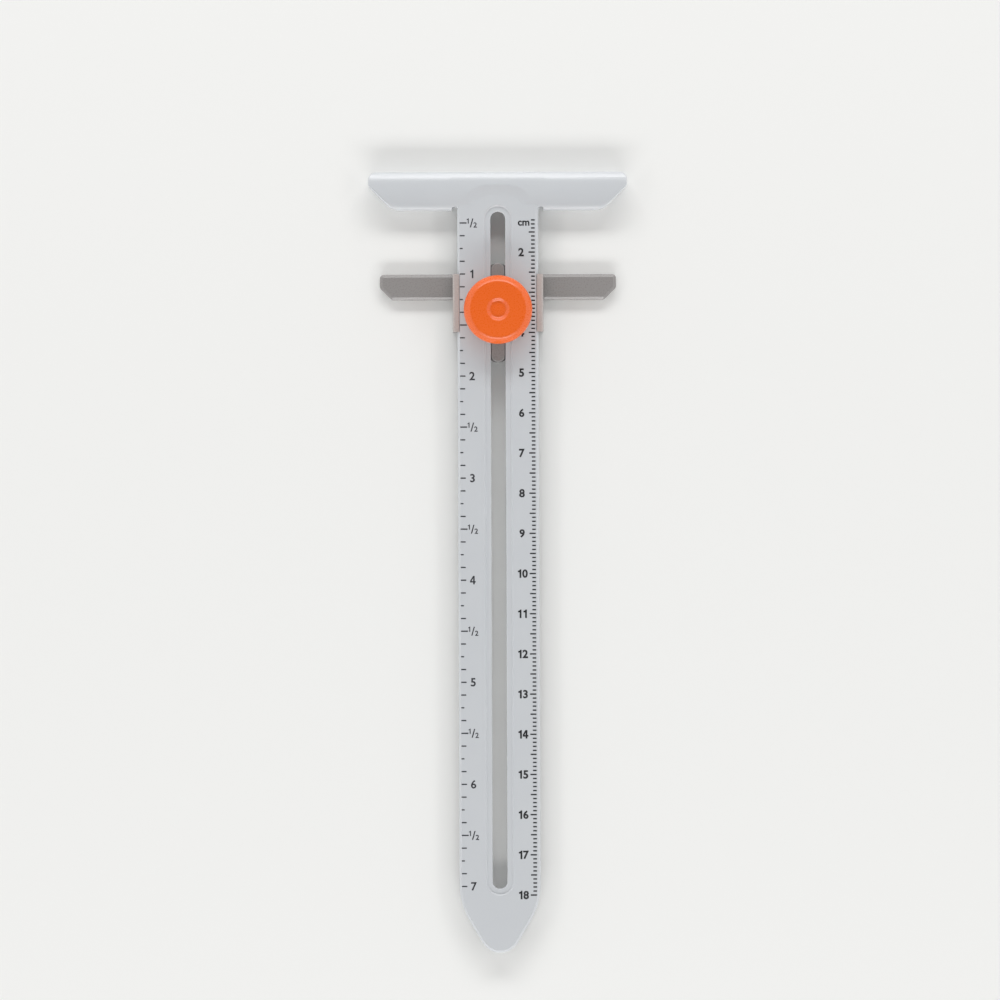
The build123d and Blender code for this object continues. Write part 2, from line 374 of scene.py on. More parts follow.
def turned(
    name: str,
    profile: list[Point],
    centre: Point = (0.0, 0.0),
    steps: int = 96,
    stretch: float = 0.0,
) -> bpy.types.Object:
    """Turns a solid from the rings of a profile, and can draw it out to a long round-ended one.

    Args:
        name: the name of the new object.
        profile: radius and height of each ring, in order, with a zero radius only at an end.
        centre: X and Y of the axis.
        steps: how many sides the rings have.
        stretch: how far the upper half is moved along Y.

    Returns:
        The closed solid.
    """
    rings = [ring for ring in profile if ring[0] > 0]
    rings = [
        rings[0],
        *(ring for last, ring in pairwise(rings) if math.dist(last, ring) > SAME_RING),
    ]
    first_radius, first_z = rings[0]
    # The middles of the sides, not the corners, lie on the radius, so that flats keep their size
    half_step = math.pi / steps
    reach = first_radius / math.cos(half_step)
    bpy.ops.mesh.primitive_circle_add(
        vertices=steps,
        radius=reach,
        fill_type="NOTHING",
        location=(*centre, first_z),
        rotation=(0, 0, half_step),
    )
    piece = bpy.context.object
    piece.name = name
    bpy.ops.object.transform_apply(location=True, rotation=True, scale=True)
    with editing(piece):
        bpy.ops.mesh.select_all(action="SELECT")
        for (radius, height), (next_radius, next_height) in pairwise(rings):
            bpy.ops.mesh.extrude_region_move(
                TRANSFORM_OT_translate={"value": (0, 0, next_height - height)}
            )
            scale = next_radius / radius
            bpy.ops.transform.resize(
                value=(scale, scale, 1), center_override=(*centre, next_height)
            )
        close_end(profile[-1], rings[-1])
        pick_corners(
            piece,
            lambda co: abs(co.z - first_z) < NEAR
            and abs(math.dist(co.xy, centre) - reach) < NEAR,
        )
        close_end(profile[0], rings[0])
        if stretch:
            pick_corners(piece, lambda co: co.y > centre[1])
            bpy.ops.transform.translate(value=(0, stretch, 0))
        face_outwards()
    return piece


def close_end(end: Point, ring: Point) -> None:
    """Closes the selected ring of the turned solid in edit mode with a flat face or a pole.

    Args:
        end: the profile's end, which has no radius where the end is a pole.
        ring: the selected ring.
    """
    if end == ring:
        bpy.ops.mesh.edge_face_add()
        return
    bpy.ops.mesh.extrude_region_move(
        TRANSFORM_OT_translate={"value": (0, 0, end[1] - ring[1])}
    )
    bpy.ops.mesh.merge(type="CENTER")


def combine(
    body: bpy.types.Object, tool: bpy.types.Object, how: Combine
) -> bpy.types.Object:
    """Combines a solid with a second one, which is used up.

    Args:
        body: the solid that is kept.
        tool: the other solid.
        how: whether the other one is joined to it or cut away from it.

    Returns:
        The kept solid.
    """
    step = body.modifiers.new("combine", "BOOLEAN")
    step.operation = how.value
    step.solver = "EXACT"
    step.object = tool
    activate(body)
    bpy.ops.object.modifier_apply(modifier=step.name)
    bpy.data.objects.remove(tool, do_unlink=True)
    return body


def soften(piece: bpy.types.Object, width: float, segments: int = 2) -> bpy.types.Object:
    """Rounds the sharp edges of a plain solid, before it is combined with others.

    Args:
        piece: the solid.
        width: how far the rounding reaches from the edge, in millimetres.
        segments: how many strips draw it.

    Returns:
        The same piece.
    """
    step = piece.modifiers.new("soften", "BEVEL")
    step.width = width
    step.segments = segments
    step.limit_method = "ANGLE"
    step.angle_limit = math.radians(SHARP_EDGE)
    step.use_clamp_overlap = False
    activate(piece)
    bpy.ops.object.modifier_apply(modifier=step.name)
    return piece


def bevel_level(
    piece: bpy.types.Object, level: float, width: float, segments: int
) -> None:
    """Rounds the edges of a solid that lie flat at one level.

    Args:
        piece: the solid, as an object.
        level: the height of the edges.
        width: how far the rounding reaches from each edge.
        segments: how many strips draw it.
    """
    with editing(piece):
        pick_edges(piece, lambda middle: abs(middle.z - level) < NEAR)
        bpy.ops.mesh.bevel(
            offset=width, segments=segments, affect="EDGES", clamp_overlap=False
        )


def shade_round(piece: bpy.types.Object, angle: float) -> None:
    """Shades a turned or wound surface smooth, apart from edges over an angle in degrees."""
    activate(piece)
    bpy.ops.object.shade_smooth_by_angle(angle=math.radians(angle))


def shade(piece: bpy.types.Object, angle: float = 35.0) -> None:
    """Shades curved surfaces smooth while flat ones stay flat.

    Args:
        piece: the finished shape.
        angle: the sharpest edge in degrees that still shades smooth.
    """
    shade_round(piece, angle)
    step = piece.modifiers.new("flats", "WEIGHTED_NORMAL")
    step.keep_sharp = True
    step.weight = 80
    bpy.ops.object.modifier_apply(modifier=step.name)


class Finish:
    """A surface that a piece can be given."""

    name: str

    def material(self) -> bpy.types.Material:
        """Makes the finish's material, or gives the one made before.

        Returns:
            The material.
        """
        made = bpy.data.materials.get(self.name)
        if made:
            return made
        material = bpy.data.materials.new(self.name)
        material.use_nodes = True
        self.dress(material.node_tree, material.node_tree.nodes["Principled BSDF"])
        return material

    def dress(self, tree: bpy.types.NodeTree, shader: bpy.types.Node) -> None:
        """Sets the shader and adds the nodes behind it.

        Args:
            tree: the material's node tree.
            shader: its Principled shader.
        """
        raise NotImplementedError


@dataclass(frozen=True)
class MouldedPlastic(Finish):
    """An injection moulded plastic: a satin skin with the mould's fine grain and slow waviness.

    The real grain is finer than a tenth of a millimetre and wouldn't show, so it is drawn coarser.
    """

    name: str
    colour: str
    deep_colour: str
    roughness: float
    ior: float
    uneven: float = 0.04
    grain_mm: float = 0.35
    grain_depth_mm: float = 0.002
    wave_mm: float = 9.0
    wave_depth_mm: float = 0.012

    def dress(self, tree: bpy.types.NodeTree, shader: bpy.types.Node) -> None:
        """Sets the plastic's gloss, its faint flow marks and the mould's grain."""
        shader.inputs["IOR"].default_value = self.ior
        place = add_node(tree, "ShaderNodeTexCoord").outputs["Object"]
        flow = add_node(
            tree,
            "ShaderNodeTexNoise",
            {"Vector": place, "Scale": 1 / (self.wave_mm * MM), "Detail": 3.0},
        ).outputs["Fac"]
        grain = add_node(
            tree,
            "ShaderNodeTexNoise",
            {"Vector": place, "Scale": 1 / (self.grain_mm * MM), "Detail": 2.0},
        ).outputs["Fac"]
        colour = add_node(
            tree,
            "ShaderNodeMix",
            {0: flow, 6: linear(self.deep_colour), 7: linear(self.colour)},
            data_type="RGBA",
        )
        skin_colour = self.rub(tree, place, colour.outputs[2])
        tree.links.new(skin_colour, shader.inputs["Base Color"])
        rough = add_node(
            tree,
            "ShaderNodeMapRange",
            {
                "Value": grain,
                "To Min": self.roughness - self.uneven,
                "To Max": self.roughness + self.uneven,
            },
        )
        tree.links.new(rough.outputs["Result"], shader.inputs["Roughness"])
        waves = add_node(
            tree,
            "ShaderNodeBump",
            {"Height": flow, "Distance": self.wave_depth_mm * MM, "Strength": 1.0},
        )
        skin = add_node(
            tree,
            "ShaderNodeBump",
            {
                "Height": grain,
                "Distance": self.grain_depth_mm * MM,
                "Strength": 1.0,
                "Normal": waves.outputs["Normal"],
            },
        )
        tree.links.new(skin.outputs["Normal"], shader.inputs["Normal"])

    def rub(
        self,
        tree: bpy.types.NodeTree,
        place: bpy.types.NodeSocket,
        colour: bpy.types.NodeSocket,
    ) -> bpy.types.NodeSocket:
        """Leaves the moulded colour as it is: most pieces get no painted highlight."""
        return colour


@dataclass(frozen=True)
class RubbedPlastic(MouldedPlastic):
    """A moulded plastic whose highest crests are painted paler, as a painted highlight where they
    catch the light.
    """

    rubbed_colour: str = "#FFFFFF"
    rubbed_foot_mm: float = 0.0
    rubbed_top_mm: float = 1.0

    def rub(
        self,
        tree: bpy.types.NodeTree,
        place: bpy.types.NodeSocket,
        colour: bpy.types.NodeSocket,
    ) -> bpy.types.NodeSocket:
        """Mixes in the paler colour by height over the back, as a painted highlight on the crests.

        Args:
            tree: the material's node tree.
            place: the place on the piece.
            colour: the moulded colour.

        Returns:
            The colour with the painted highlight on its crests.
        """
        # The paler colour over the highest crests is a painted highlight, not a colour of the
        # plastic.
        height = add_node(tree, "ShaderNodeSeparateXYZ", {"Vector": place}).outputs["Z"]
        share = add_node(
            tree,
            "ShaderNodeMapRange",
            {
                "Value": height,
                "From Min": self.rubbed_foot_mm * MM,
                "From Max": self.rubbed_top_mm * MM,
            },
        ).outputs["Result"]
        mixed = add_node(
            tree,
            "ShaderNodeMix",
            {0: share, 6: colour, 7: linear(self.rubbed_colour)},
            data_type="RGBA",
        )
        return mixed.outputs[2]


@dataclass(frozen=True)
class PrintedInk(Finish):
    """Pad printed ink: a thin matt film whose edge and cover vary a little."""

    name: str
    colour: str
    thin_colour: str
    roughness: float = 0.55
    ior: float = 1.5
    speckle_mm: float = 0.25
    thin_share: tuple[float, float] = (0.55, 0.8)

    def dress(self, tree: bpy.types.NodeTree, shader: bpy.types.Node) -> None:
        """Sets the ink's colour, greyer where the film is thin."""
        place = add_node(tree, "ShaderNodeTexCoord").outputs["Object"]
        cover = add_node(
            tree,
            "ShaderNodeTexNoise",
            {"Vector": place, "Scale": 1 / (self.speckle_mm * MM), "Detail": 3.0},
        ).outputs["Fac"]
        share = add_node(
            tree,
            "ShaderNodeMapRange",
            {"Value": cover, "From Min": self.thin_share[0], "From Max": self.thin_share[1]},
        ).outputs["Result"]
        colour = add_node(
            tree,
            "ShaderNodeMix",
            {0: share, 6: linear(self.colour), 7: linear(self.thin_colour)},
            data_type="RGBA",
        )
        tree.links.new(colour.outputs[2], shader.inputs["Base Color"])
        shader.inputs["Roughness"].default_value = self.roughness
        shader.inputs["IOR"].default_value = self.ior


@dataclass(frozen=True)
class DrawnSteel(Finish):
    """Steel drawn to wire or turned on a lathe: bright, with fine lines round its axis.

    The real lines are some hundredths of a millimetre apart, so they are drawn coarser to show.
    """

    name: str
    colour: str
    dull_colour: str
    roughness: float
    brighter: float = 0.08
    duller: float = 0.12
    line_mm: float = 0.12
    line_depth_mm: float = 0.002
    line_stretch: float = 0.15

    def dress(self, tree: bpy.types.NodeTree, shader: bpy.types.Node) -> None:
        """Sets the metal and the fine lines that the die or the tool leaves."""
        shader.inputs["Metallic"].default_value = 1.0
        place = add_node(tree, "ShaderNodeTexCoord").outputs["Object"]
        flat = add_node(
            tree,
            "ShaderNodeMapping",
            {"Vector": place, "Scale": (self.line_stretch, self.line_stretch, 1.0)},
        ).outputs["Vector"]
        lines = add_node(
            tree,
            "ShaderNodeTexNoise",
            {"Vector": flat, "Scale": 1 / (self.line_mm * MM), "Detail": 3.0},
        ).outputs["Fac"]
        colour = add_node(
            tree,
            "ShaderNodeMix",
            {0: lines, 6: linear(self.dull_colour), 7: linear(self.colour)},
            data_type="RGBA",
        )
        tree.links.new(colour.outputs[2], shader.inputs["Base Color"])
        rough = add_node(
            tree,
            "ShaderNodeMapRange",
            {
                "Value": lines,
                "To Min": self.roughness - self.brighter,
                "To Max": self.roughness + self.duller,
            },
        )
        tree.links.new(rough.outputs["Result"], shader.inputs["Roughness"])
        skin = add_node(
            tree,
            "ShaderNodeBump",
            {"Height": lines, "Distance": self.line_depth_mm * MM, "Strength": 1.0},
        )
        tree.links.new(skin.outputs["Normal"], shader.inputs["Normal"])


# White ABS, moulded against a satin steel face: cool white, with soft wide highlights.
RULER_ABS = MouldedPlastic("moulded_white_abs", "#CFD2D5", "#CACDD1", 0.25, 1.54)
# Grey ABS from a plainer mould: mid grey with a warm cast, and a painted highlight that makes the
# tops of its rails paler.
MARKER_ABS = RubbedPlastic(
    "moulded_grey_abs",
    "#959190",
    "#8F8C8A",
    0.28,
    1.54,
    rubbed_colour="#BDB4B0",
    rubbed_foot_mm=3.7,
    rubbed_top_mm=4.3,
)
# Orange ABS from a polished mould: strong colour under a clearer gloss.
BUTTON_ABS = MouldedPlastic(
    "moulded_orange_abs", "#F26B22", "#EF651C", 0.28, 1.54, grain_depth_mm=0.0007
)
# Natural acetal: off-white and waxy, with a low soft sheen.
ACETAL = MouldedPlastic("moulded_natural_acetal", "#DCDCD6", "#D2D2CB", 0.48, 1.48)
# Black pad printing ink: a thin matt film that is a little greyer where it is thin.
BLACK_INK = PrintedInk("pad_printed_black_ink", "#17181B", "#33353A")
# The same ink from a thinner print: dark grey, as the white shows a little through it.
GREY_INK = PrintedInk("pad_printed_dark_grey_ink", "#2B2C31", "#4A4C52")
# Drawn carbon steel wire: bright grey, with fine lines from the drawing die.
SPRING_WIRE = DrawnSteel("drawn_spring_steel", "#C9C9C7", "#A9A9A8", 0.28)
# Zinc plated screw: pale bluish steel, turned and then plated.
PLATED_SCREW = DrawnSteel("zinc_plated_steel", "#CDD1D6", "#AEB3BA", 0.32)


def finish_piece(
    piece: bpy.types.Object,
    body: Body,
    finish: Finish,
    replaces: str | None = None,
) -> bpy.types.Object:
    """Brings a piece to metres, dresses it and hands it to its body.

    Args:
        piece: the shape in millimetres.
        body: the body that it rides on.
        finish: what it is made of.
        replaces: the CAD node that it stands for, if any.

    Returns:
        The finished piece.
    """
    activate(piece)
    piece.scale = (MM, MM, MM)
    bpy.ops.object.transform_apply(location=True, rotation=True, scale=True)
    dress(piece, finish)
    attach(piece, body.value)
    if replaces:
        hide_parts(replaces)
    log.info("%s: %d faces, rides on %s", piece.name, len(piece.data.polygons), body.value)
    return piece


def dress(piece: bpy.types.Object, finish: Finish) -> None:
    """Gives a piece this finish in place of any material that it has."""
    piece.data.materials.clear()
    piece.data.materials.append(finish.material())


@dataclass
class RulerMoulding:
    """The white moulding: T head, slotted blade and moulded back, in millimetres."""

    datum_y: float = 97.2
    foot_y: float = 87.75
    head_half: float = 32.2
    side_foot_y: float = 93.75
    corner_radius: float = 1.8
    cut_radius: float = 1.0
    underside_radius: float = 5.5
    crown_z: float = 5.0
    crown_radius: float = 7.777
    rim_softening: float = 0.35
    back_softening: float = 0.15
    blade_half: float = 10.1
    root_y: float = 90.7
    back_z: float = 1.75
    front_z: float = 4.15
    blade_bevel: float = 0.55
    blade_softening: float = 0.1
    tip_y: float = -97.2
    tip_radius: float = 5.05
    taper: float = math.radians(30.5)
    shoulder_radius: float = 18.0
    slot_low_y: float = -79.47
    slot_high_y: float = 85.47
    slot_half: float = 1.83
    seat: float = 1.0
    recess_floor_z: float = 3.7
    recess_floor_half: float = 3.185
    recess_slope: float = 0.7
    recess_softening: float = 0.15
    ramp_half: float = 6.0
    ramp_radius: float = 6.5
    ramp_corner: float = 4.0
    ramp_sink: float = 0.03
    crest_blend: float = 0.14
    root_overlap: float = 2.0
    net_step: float = 0.4
    net_margin: float = 2.0
    notch_half: float = 0.65
    notch_top_y: float = 88.65
    pocket_low_y: float = 89.35
    pocket_high_y: float = 95.6
    inner_pockets: tuple[tuple[float, float], ...] = ((0.7, 8.7), (10.1, 19.1))
    end_pocket_x: float = 20.5
    end_pocket_cut: Point = (25.54, 94.41)
    end_wall_x: float = 30.6
    pocket_depth: float = 3.0
    pocket_corner: float = 0.6
    pocket_softening: float = 0.15

    def head(self) -> bpy.types.Object:
        """Makes the T head: its outline, its softened rims and its crowned front.

        Returns:
            The head.
        """
        cut_x = self.head_half - (self.side_foot_y - self.foot_y)
        top, side, foot = self.datum_y, self.side_foot_y, self.foot_y
        half = self.head_half
        corners = [
            (-half, top),
            (-half, side),
            (-cut_x, foot),
            (cut_x, foot),
            (half, side),
            (half, top),
        ]
        head = outline("ruler_moulding", corners)
        for mirror in (-1, 1):
            round_corner(head, (mirror * half, top), self.corner_radius)
            round_corner(head, (mirror * half, side), self.cut_radius, 5)
            round_corner(head, (mirror * cut_x, foot), self.underside_radius)
        raise_solid(head, (0, 0, 0), (0, 0, self.crown_z))
        bevel_level(head, self.crown_z, self.rim_softening, 4)
        bevel_level(head, 0.0, self.back_softening, 2)
        self.slice_front(head)
        self.crown_front(head)
        return head

    def slice_front(self, head: bpy.types.Object) -> None:
        """Cuts the flat front into rows, and into a net where the ramp rises from the blade.

        Args:
            head: the head with its front still flat.
        """
        low, step = self.foot_y + self.rim_softening, self.net_step
        rows = round((self.datum_y - self.foot_y) / step)
        columns = round((self.blade_half + self.net_margin) / step)
        cuts = [((0, low + row * step, 0), (0, 1, 0)) for row in range(1, rows)]
        cuts += [((column * step, 0, 0), (1, 0, 0)) for column in range(-columns, columns + 1)]
        with editing(head):
            for place, way in cuts:
                pick_faces(head, lambda middle, normal: normal.z > 0.1)
                bpy.ops.mesh.bisect(plane_co=place, plane_no=way)

    def crown_front(self, head: bpy.types.Object) -> None:
        """Lowers the sliced front to the crown, and to the ramp in its middle.

        Args:
            head: the head with its front sliced.
        """
        above = self.crown_z - self.rim_softening - NEAR
        for corner in head.data.vertices:
            if corner.co.z > above:
                corner.co.z += self.front_height(corner.co.x, corner.co.y) - self.crown_z

    def front_height(self, x: float, y: float) -> float:
        """Height of the head's front: its crown, and softly joined to it the ramp.

        Args:
            x: the place across the ruler.
            y: the place along it.

        Returns:
            The height over the plane of the back.
        """
        from_middle = y - (self.datum_y + self.foot_y) / 2
        drop = self.crown_radius - math.sqrt(self.crown_radius**2 - from_middle**2)
        crown = self.crown_z - drop
        beside = max(abs(x) - self.ramp_half + self.ramp_corner, 0.0)
        beyond = max(y - self.root_y + self.ramp_corner, 0.0)
        run = min(max(math.hypot(beside, beyond) - self.ramp_corner, 0), self.ramp_radius)
        rise = self.ramp_radius - math.sqrt(self.ramp_radius**2 - run**2)
        ramp = self.front_z - self.ramp_sink + rise
        share = min(max(0.5 + (ramp - crown) / (2 * self.crest_blend), 0.0), 1.0)
        return ramp + share * (crown - ramp) - self.crest_blend * share * (1 - share)

    def blade(self) -> bpy.types.Object:
        """Makes the blade with its rounded point and bevelled front edge.

        Returns:
            The blade, which reaches into the head.
        """
        point_y = self.tip_y + self.tip_radius - self.tip_radius / math.sin(self.taper)
        shoulder_y = point_y + self.blade_half / math.tan(self.taper)
        half, inside_y = self.blade_half, self.root_y + self.root_overlap
        corners = [
            (-half, inside_y),
            (-half, shoulder_y),
            (0, point_y),
            (half, shoulder_y),
            (half, inside_y),
        ]
        blade = outline("blade", corners)
        round_corner(blade, (0, point_y), self.tip_radius, 20)
        for mirror in (-1, 1):
            round_corner(blade, (mirror * half, shoulder_y), self.shoulder_radius, 10)
        raise_solid(blade, (0, 0, self.back_z), (0, 0, self.front_z - self.back_z))
        bevel_level(blade, self.front_z, self.blade_bevel, 1)
        return soften(blade, self.blade_softening)

    def slot_cutter(self) -> bpy.types.Object:
        """Makes the cutter of the slot: its back seat and its throat with a softened mouth.

        Returns:
            The cutter, drawn out to the slot's length.
        """
        past, soft = PAST / 2, self.recess_softening
        mouth = self.slot_half + soft
        profile = [
            (self.slot_half + self.seat + past, self.back_z - past),
            (self.slot_half, self.back_z + self.seat),
            *arc((mouth, self.recess_floor_z - soft), -soft, soft, 0, 90, 4),
            (mouth, self.front_z + past),
        ]
        return self.draw_out("slot", profile)

    def recess_cutter(self) -> bpy.types.Object:
        """Makes the cutter of the sunk margin round the slot, with its foot and lip softened.

        Its sloping wall runs from a foot to a lip, each turned by one point between two, at
        shares of the softening.

        Returns:
            The cutter, drawn out to the slot's length.
        """
        soft, slope = self.recess_softening, self.recess_slope
        foot_x, foot_z, lip_z = self.recess_floor_half, self.recess_floor_z, self.front_z
        rise = lip_z - foot_z
        lip_x = foot_x + slope * rise
        profile = [
            (foot_x - soft, foot_z),
            (foot_x - 0.1 * soft, foot_z + 0.25 * soft),
            (foot_x + slope * soft, foot_z + soft),
            (foot_x + slope * (rise - soft), lip_z - soft),
            (lip_x + 0.2 * soft, lip_z - 0.3 * soft),
            (lip_x + 2 * soft, lip_z + 0.1 * soft),
            (lip_x + 2 * soft, lip_z + PAST),
        ]
        return self.draw_out("recess", profile)

    def draw_out(self, name: str, profile: list[Point]) -> bpy.types.Object:
        """Turns a cutter and draws it out to the slot's length."""
        length = self.slot_high_y - self.slot_low_y
        return turned(name, profile, (0, self.slot_low_y), 64, length)

    def notch_cutters(self) -> Iterator[bpy.types.Object]:
        """Makes the round-topped reliefs beside the blade's root.

        Yields:
            One cutter for each side.
        """
        half, start_y = self.notch_half, self.foot_y - PAST
        for mirror in (-1, 1):
            yield turned(
                "notch",
                [(half, -PAST), (half, self.crown_z + PAST)],
                (mirror * (self.blade_half + half), start_y),
                32,
                self.notch_top_y - half - start_y,
            )

    def pocket_cutters(self) -> Iterator[bpy.types.Object]:
        """Makes the moulded pockets behind the head, three each side of its middle rib.

        Yields:
            One cutter for each pocket.
        """
        low, high = self.pocket_low_y, self.pocket_high_y
        near_x, (cut_x, cut_y), wall_x = self.end_pocket_x, self.end_pocket_cut, self.end_wall_x
        end_pocket = [(near_x, low), (cut_x, low), (wall_x, cut_y), (wall_x, high), (near_x, high)]
        pockets = [box_corners(*span, low, high) for span in self.inner_pockets]
        pockets.append(end_pocket)
        for mirror in (-1, 1):
            for corners in pockets:
                placed = [(mirror * x, y) for x, y in corners]
                cutter = outline("pocket", placed)
                for corner in placed:
                    round_corner(cutter, corner, self.pocket_corner, 4)
                mouth_z = self.pocket_softening
                raise_solid(cutter, (0, 0, mouth_z), (0, 0, self.pocket_depth - mouth_z))
                bevel_level(cutter, self.pocket_depth, 2 * self.pocket_softening, 4)
                self.flare_mouth(cutter)
                yield cutter

    def flare_mouth(self, cutter: bpy.types.Object) -> None:
        """Widens a pocket's cutter where it leaves the back, which softens the pocket's rim.

        Args:
            cutter: the cutter, which starts a little inside the head.
        """
        soft = self.pocket_softening
        middle = sum((Vector(corner) for corner in cutter.bound_box), Vector()) / 8
        scales = [1 + 2 * soft / size for size in cutter.dimensions.xy]
        with editing(cutter):
            pick_faces(cutter, lambda place, normal: normal.z < -0.9)
            bpy.ops.mesh.extrude_region_move(TRANSFORM_OT_translate={"value": (0, 0, -soft)})
            bpy.ops.transform.resize(value=(*scales, 1), center_override=middle)
            bpy.ops.mesh.extrude_region_move(TRANSFORM_OT_translate={"value": (0, 0, -PAST)})

    def build(self) -> bpy.types.Object:
        """Makes, shades and dresses the whole moulding.

        Returns:
            The finished ruler.
        """
        blade = combine(self.blade(), self.slot_cutter(), Combine.CUT)
        ruler = combine(self.head(), blade, Combine.JOIN)
        for cutter in [self.recess_cutter(), *self.notch_cutters(), *self.pocket_cutters()]:
            combine(ruler, cutter, Combine.CUT)
        shade(ruler, 40)
        return finish_piece(ruler, Body.RULER, RULER_ABS, "ruler_body")


@dataclass
class MarkerSlide:
    """The grey moulding that slides: wings, hooked rails, back plate and key, in millimetres.

    Faces of its parts that would lie in one plane are kept a hair apart, because solids combine
    cleanly only then.
    """

    upper_y: float = 71.8
    lower_y: float = 65.45
    wing_half: float = 29.45
    wing_cut: float = 3.0
    wing_z: float = 2.1
    wing_corner: float = 1.0
    chamfer_wide: float = 0.75
    chamfer_tall: float = 0.5
    wing_softening: float = 0.12
    edge_softening: float = 0.08
    rail_rounding: float = 0.6
    lip_rounding: float = 0.35
    plate_z: float = 1.6
    plate_half: float = 11.3
    plate_inset: float = 0.5
    plate_low_y: float = 57.4
    channel_half: float = 10.22
    rail_overlap: float = 0.3
    lip_half: float = 9.67
    hook_z: float = 3.65
    lip_z: float = 4.2
    rail_z: float = 4.4
    key_half: float = 1.7
    key_sink: float = 0.3
    tongue_half: float = 3.2
    key_low_y: float = 49.9
    key_high_y: float = 74.55
    key_z: float = 3.6
    button_y: float = 62.8
    space_half: float = 4.6
    space_wide: float = 3.0
    window_half: float = 3.1
    pad_offset: float = 6.15
    pad_half: float = 1.4
    pad_z: float = 4.25
    peg_radius: float = 0.8
    peg_floor_z: float = 1.0
    key_rounding: float = 0.3
    hair: float = 0.01

    def wings(self) -> bpy.types.Object:
        """Makes the two arms in one bar, with chamfered front edges.

        Returns:
            The bar.
        """
        half, cut = self.wing_half, self.wing_cut
        top, low = self.upper_y, self.lower_y
        cuts = [(half, low + cut), (half - cut, low)]
        corners = [(-half, top), *[(-x, y) for x, y in cuts], *reversed(cuts), (half, top)]
        bar = outline("marker_slide", corners)
        for mirror in (-1, 1):
            for x, y in [*cuts, (half, top)]:
                round_corner(bar, (mirror * x, y), self.wing_corner)
        raise_solid(bar, (0, 0, 0), (0, 0, self.wing_z))
        bevel_level(bar, self.wing_z, self.chamfer_wide, 1)
        chamfer_foot = self.wing_z - self.chamfer_wide
        with editing(bar):
            pick_corners(bar, lambda co: abs(co.z - chamfer_foot) < NEAR)
            bpy.ops.transform.translate(value=(0, 0, self.chamfer_wide - self.chamfer_tall))
        return soften(bar, self.wing_softening)

    def rail(self, mirror: int) -> bpy.types.Object:
        """Makes one rail across the blade's edge, hooked over its bevel.

        Args:
            mirror: 1 for the right rail and -1 for the left one.

        Returns:
            The rail.
        """
        outer, lip = self.rail_rounding, self.lip_rounding
        lip_tall = (self.rail_z - self.lip_z) / 2
        corners = [
            (self.channel_half, self.hair),
            (self.plate_half, self.hair),
            *arc((self.plate_half - outer, self.rail_z - outer), outer, outer, 0, 90, 6),
            *arc((self.lip_half + lip, self.rail_z - lip_tall), lip, lip_tall, 90, 180, 6),
            (self.lip_half, self.lip_z),
            (self.channel_half, self.hook_z),
        ]
        placed = [(mirror * x, z) for x, z in corners]
        rail = outline("rail", placed, Section.ACROSS)
        length = self.upper_y - self.plate_low_y - self.hair
        raise_solid(rail, (0, self.plate_low_y - self.hair, 0), (0, length, 0))
        return soften(rail, self.edge_softening)

    def back_plate(self) -> bpy.types.Object:
        """Makes the plate behind the blade, with its round-ended tongues, inside the rails.

        Returns:
            The plate.
        """
        half, tongue = self.plate_half - self.plate_inset, self.tongue_half
        low, high = self.plate_low_y, self.upper_y - self.hair
        ends = [(tongue, self.key_high_y), (tongue, self.key_low_y)]
        right = [(tongue, high), (half, high), (half, low), (tongue, low)]
        side = [ends[0], *right, ends[1]]
        face = outline("back_plate", [*side, *((-x, y) for x, y in reversed(side))])
        for mirror in (-1, 1):
            for x, y in ends:
                round_corner(face, (mirror * x, y), tongue - self.hair, 10)
        raise_solid(face, (0, 0, 0), (0, 0, self.plate_z))
        bevel_level(face, 0.0, self.edge_softening, 2)
        return face

    def key(self) -> bpy.types.Object:
        """Makes the key in its two lengths, each with a pad for the cup.

        Returns:
            The key.
        """
        half, soft = self.key_half, self.key_rounding
        low, high = self.key_low_y + half + self.hair, self.key_high_y - half - self.hair
        profile = [
            (half, self.plate_z - self.key_sink),
            *arc((half - soft, self.key_z - soft), soft, soft, 0, 90, 4),
        ]
        key = turned("key", profile, (0, low), 48, high - low)
        space = self.beside_button(self.space_wide, self.space_half)
        combine(key, plate("space", space, 0, self.pad_z), Combine.CUT)
        for side in (-1, 1):
            y = self.button_y + side * self.pad_offset
            pad = box_corners(-half, half, y - self.pad_half, y + self.pad_half)
            combine(key, plate("pad", pad, self.plate_z, self.pad_z), Combine.JOIN)
        return key

    def beside_button(self, wide: float, tall: float) -> list[Point]:
        """The corners of a rectangle about the button's axis, from its half sizes."""
        return box_corners(-wide, wide, self.button_y - tall, self.button_y + tall)

    def cut_channel(self, slide: bpy.types.Object) -> None:
        """Cuts the channel that the blade runs in across the middle of the wings.

        Args:
            slide: the wings.
        """
        half = self.channel_half + self.rail_overlap
        channel = box_corners(-half, half, self.plate_low_y - PAST, self.upper_y + PAST)
        floor_z = self.plate_z - self.hair
        combine(slide, plate("channel", channel, floor_z, self.rail_z + PAST), Combine.CUT)

    def cut_openings(self, slide: bpy.types.Object) -> None:
        """Cuts the wedge's window in the back plate and the blind holes for the cup's pegs.

        Args:
            slide: the joined slide.
        """
        window = self.beside_button(self.window_half, self.space_half)
        combine(slide, plate("window", window, -PAST, self.plate_z + PAST), Combine.CUT)
        radius = self.peg_radius
        for side in (-1, 1):
            hole = turned(
                "peg_hole",
                [(radius, self.peg_floor_z), (radius, self.pad_z + PAST)],
                (0, self.button_y + side * self.pad_offset),
                32,
            )
            combine(slide, hole, Combine.CUT)

    def build(self) -> bpy.types.Object:
        """Makes, shades and dresses the whole slide.

        Returns:
            The finished slide.
        """
        slide = self.wings()
        self.cut_channel(slide)
        for part in (self.back_plate(), self.rail(-1), self.rail(1), self.key()):
            combine(slide, part, Combine.JOIN)
        self.cut_openings(slide)
        shade(slide)
        return finish_piece(slide, Body.SLIDE, MARKER_ABS, "marker_bar")


